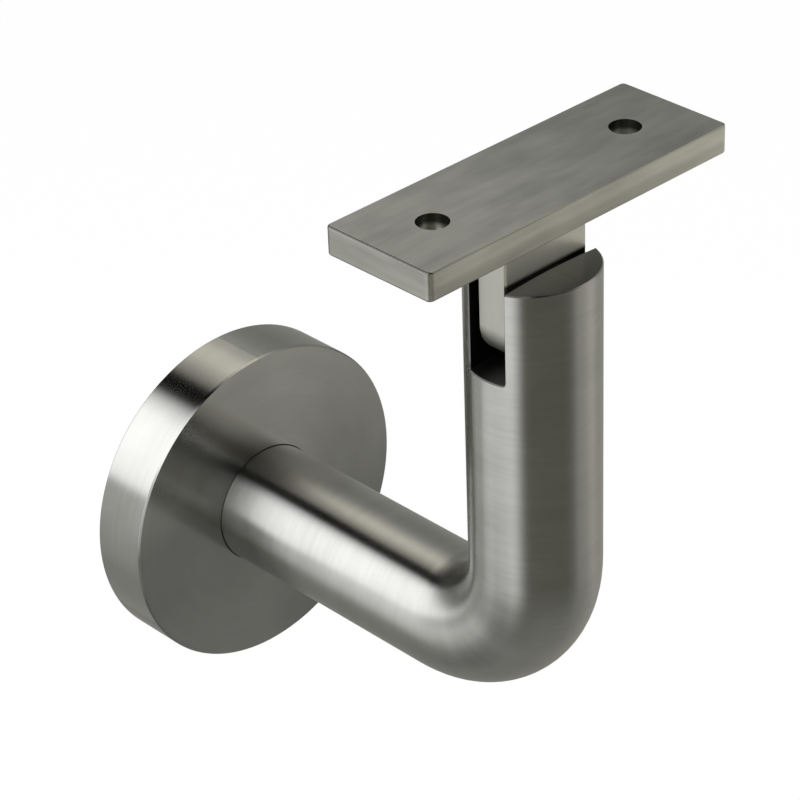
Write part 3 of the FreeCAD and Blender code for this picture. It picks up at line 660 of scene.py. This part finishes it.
PANELS = (
    # azimuth, half width, side softness, (low start, low full), (high full, high end), level, colour
    (-25, 44, 16, (-37, -29), (45, 75), 0.425, WARM),
    (-16, 26, 24, (-37, -29), (45, 75), 0.61, WARM),
    (-114, 43, 30, (-46, -38), (85, 88), 0.13, DARK),
    (-114, 60, 30, (5, 30), (85, 88), 0.0, DARK),
)
BACK_EDGE = (-0.56, -0.18)
WALL_LEVEL = (0.03, PALE)
WALL_EDGE = (0.855, 0.90)


def paint(level, tint):
    """Colour of the tent that gives a level at the tent's strength."""
    return tuple(level * c / TENT_STRENGTH for c in tint) + (1.0,)


def patch_share(n, away, half, soft, height, low, high):
    """1 inside a soft-edged patch, by how far a direction is from the patch's middle and how high."""
    return n.times(
        n.ramp(away, half + soft / 2, half - soft / 2),
        n.ramp(height, *low),
        n.ramp(height, high[1], high[0]),
    )


def tent_back(n, y, about_arm):
    """The tent behind the object's front edge: levels round the arm, two patches and the wall."""
    first = float(BACK_STOPS[0][0])
    last = float(BACK_STOPS[-1][0])
    turn = n.ramp(n.math("WRAP", about_arm, last, first), first, last, smooth=False)
    levels = n.add("ShaderNodeValToRGB", {0: turn})
    stops = levels.color_ramp.elements
    while len(stops) < len(BACK_STOPS):
        stops.new(0.5)
    for stop, (angle, level, tint) in zip(stops, BACK_STOPS):
        stop.position = (angle - first) / (last - first)
        stop.color = paint(level, tint)
    back = levels.outputs[0]
    for middle, half, soft, low, high, level, tint in BACK_PATCHES:
        away = n.math("ABSOLUTE", n.math("SUBTRACT", y, middle))
        share = patch_share(n, away, half, soft, about_arm, low, high)
        back = n.mix(share, back, paint(level, tint))
    return n.mix(n.ramp(y, *WALL_EDGE), back, paint(*WALL_LEVEL))


def tent_front(n, azimuth, elevation):
    """The tent in front of the object: soft-edged panels on an even ground."""
    front = paint(*FRONT_GROUND)
    for middle, half, soft, low, high, level, tint in PANELS:
        away = n.math("WRAP", n.math("SUBTRACT", azimuth, float(middle)), 180.0, -180.0)
        share = patch_share(n, n.math("ABSOLUTE", away), half, soft, elevation, low, high)
        front = n.mix(share, front, paint(level, tint))
    return front


def make_tent():
    bpy.ops.mesh.primitive_uv_sphere_add(
        segments=TENT_SEGMENTS, ring_count=TENT_RINGS, radius=TENT_RADIUS, location=TENT_CENTRE,
    )
    tent = bpy.context.object
    tent.name = "reflection_tent"
    material = bpy.data.materials.new("reflection_tent")
    n = Nodes(material)
    x, y, z = n.split(n.vector("NORMALIZE", n.coordinate("Object")))
    about_arm = n.math("ARCTAN2", z, n.math("MULTIPLY", x, -1.0))
    azimuth = n.math("ARCTAN2", y, x)
    elevation = n.math("ARCSINE", z)
    back = tent_back(n, y, n.math("MULTIPLY", about_arm, DEGREES))
    front = tent_front(n, n.math("MULTIPLY", azimuth, DEGREES), n.math("MULTIPLY", elevation, DEGREES))
    colour = n.mix(n.ramp(y, *BACK_EDGE), front, back)
    light = n.add("ShaderNodeEmission", {"Color": colour, "Strength": TENT_STRENGTH})
    n.output("ShaderNodeOutputMaterial", light.outputs[0])
    material.cycles.emission_sampling = "NONE"
    tent.data.materials.append(material)
    tent.visible_camera = False
    tent.visible_diffuse = False
    tent.visible_shadow = False
    tent.visible_transmission = False


def grey(level):
    """Neutral colour of a level."""
    return (level, level, level, 1.0)


def make_floor():
    bpy.ops.mesh.primitive_plane_add(size=2 * FLOOR_HALF, location=(0.0, 0.0, FLOOR_HEIGHT))
    floor = bpy.context.object
    floor.name = "floor"
    material = bpy.data.materials.new("pale_floor")
    n = Nodes(material)
    lit = n.add("ShaderNodeBsdfDiffuse", {"Color": grey(FLOOR_LEVEL)})
    white = n.add("ShaderNodeEmission", {"Color": grey(1.0), "Strength": 1.0})
    share = n.math("MULTIPLY", n.seen(), FLOOR_WHITE_SHARE)
    blend = n.add("ShaderNodeMixShader", {0: share, 1: lit.outputs[0], 2: white.outputs[0]})
    n.output("ShaderNodeOutputMaterial", blend.outputs[0])
    floor.data.materials.append(material)


def make_world():
    world = bpy.data.worlds.new("studio")
    bpy.context.scene.world = world
    n = Nodes(world)
    room = n.add("ShaderNodeBackground", {"Color": grey(ROOM_LEVEL), "Strength": 1.0})
    white = n.add("ShaderNodeBackground", {"Color": grey(1.0), "Strength": 1.0})
    blend = n.add("ShaderNodeMixShader", {0: n.seen(), 1: room.outputs[0], 2: white.outputs[0]})
    n.output("ShaderNodeOutputWorld", blend.outputs[0])
    world.cycles.sampling_method = "NONE"


def make_lamp(name, place, side, power):
    """Square lamp that faces the object and isn't mirrored by it, because the tent is."""
    data = bpy.data.lights.new(name, "AREA")
    data.shape = "SQUARE"
    data.size = side
    data.energy = power
    lamp = bpy.data.objects.new(name, data)
    bpy.context.scene.collection.objects.link(lamp)
    lamp.location = place
    toward = Vector(TENT_CENTRE) - Vector(place)
    lamp.rotation_mode = "QUATERNION"
    lamp.rotation_quaternion = toward.to_track_quat("-Z", "Y")
    lamp.visible_glossy = False


def make_camera():
    """Camera by azimuth, elevation and roll in degrees, as they were fitted to the photo's outline."""
    azimuth = math.radians(CAMERA_AZIMUTH)
    elevation = math.radians(CAMERA_ELEVATION)
    roll = math.radians(CAMERA_ROLL)
    back = Vector((
        math.sin(azimuth) * math.cos(elevation),
        -math.cos(azimuth) * math.cos(elevation),
        math.sin(elevation),
    ))
    level_right = (-back).cross(Vector((0, 0, 1))).normalized()
    level_up = level_right.cross(-back)
    right = level_right * math.cos(roll) + level_up * math.sin(roll)
    up = level_up * math.cos(roll) - level_right * math.sin(roll)
    data = bpy.data.cameras.new("camera")
    data.lens = CAMERA_LENS
    data.sensor_width = CAMERA_SENSOR
    data.clip_start = CAMERA_NEAR
    data.clip_end = CAMERA_FAR
    camera = bpy.data.objects.new("camera", data)
    bpy.context.scene.collection.objects.link(camera)
    turn = Matrix((right, up, back)).transposed().to_4x4()
    camera.matrix_world = Matrix.Translation(CAMERA_PLACE) @ turn
    bpy.context.scene.camera = camera


make_tent()
make_floor()
make_world()
for lamp in LAMPS:
    make_lamp(*lamp)
make_camera()
bpy.context.scene.view_settings.view_transform = "Standard"
